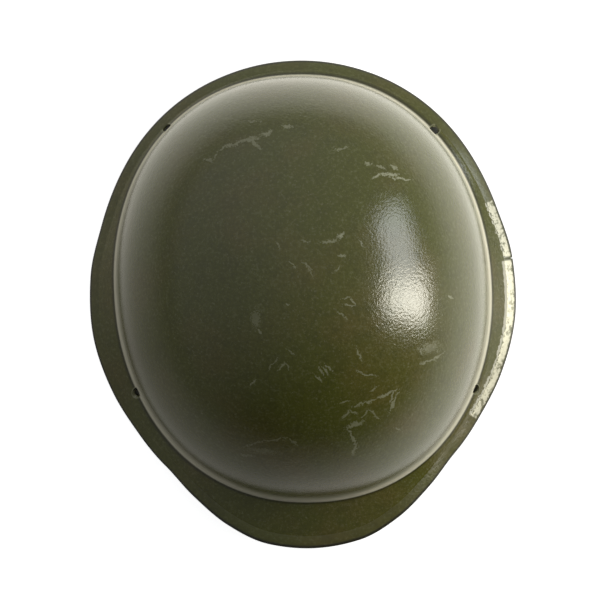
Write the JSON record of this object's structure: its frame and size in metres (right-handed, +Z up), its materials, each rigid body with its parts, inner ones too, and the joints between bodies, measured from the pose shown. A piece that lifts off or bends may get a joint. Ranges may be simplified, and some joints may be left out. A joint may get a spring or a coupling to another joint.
{
  "type": "military steel helmet",
  "caption": "Pressed steel helmet shell with a round dome, a visor and brim turned out all round, and a folded strip over the rim.",
  "frame": {"origin": "centre of the overall box, on the plane that the rim rests on", "axes": "+Z up to the crown, -Y out over the visor, +Y to the back, +X to the wearer's left"},
  "size_m": [0.2498, 0.2844, 0.172],
  "materials": {
    "olive_paint": "semi-gloss olive drab, scratched and scuffed on the crown",
    "worn_strip": "semi-gloss olive drab, chipped to pale metal along one side"
  },
  "bodies": {
    "root": {"shell": "olive_paint", "edge_strip": "worn_strip"}
  },
  "joints": []
}
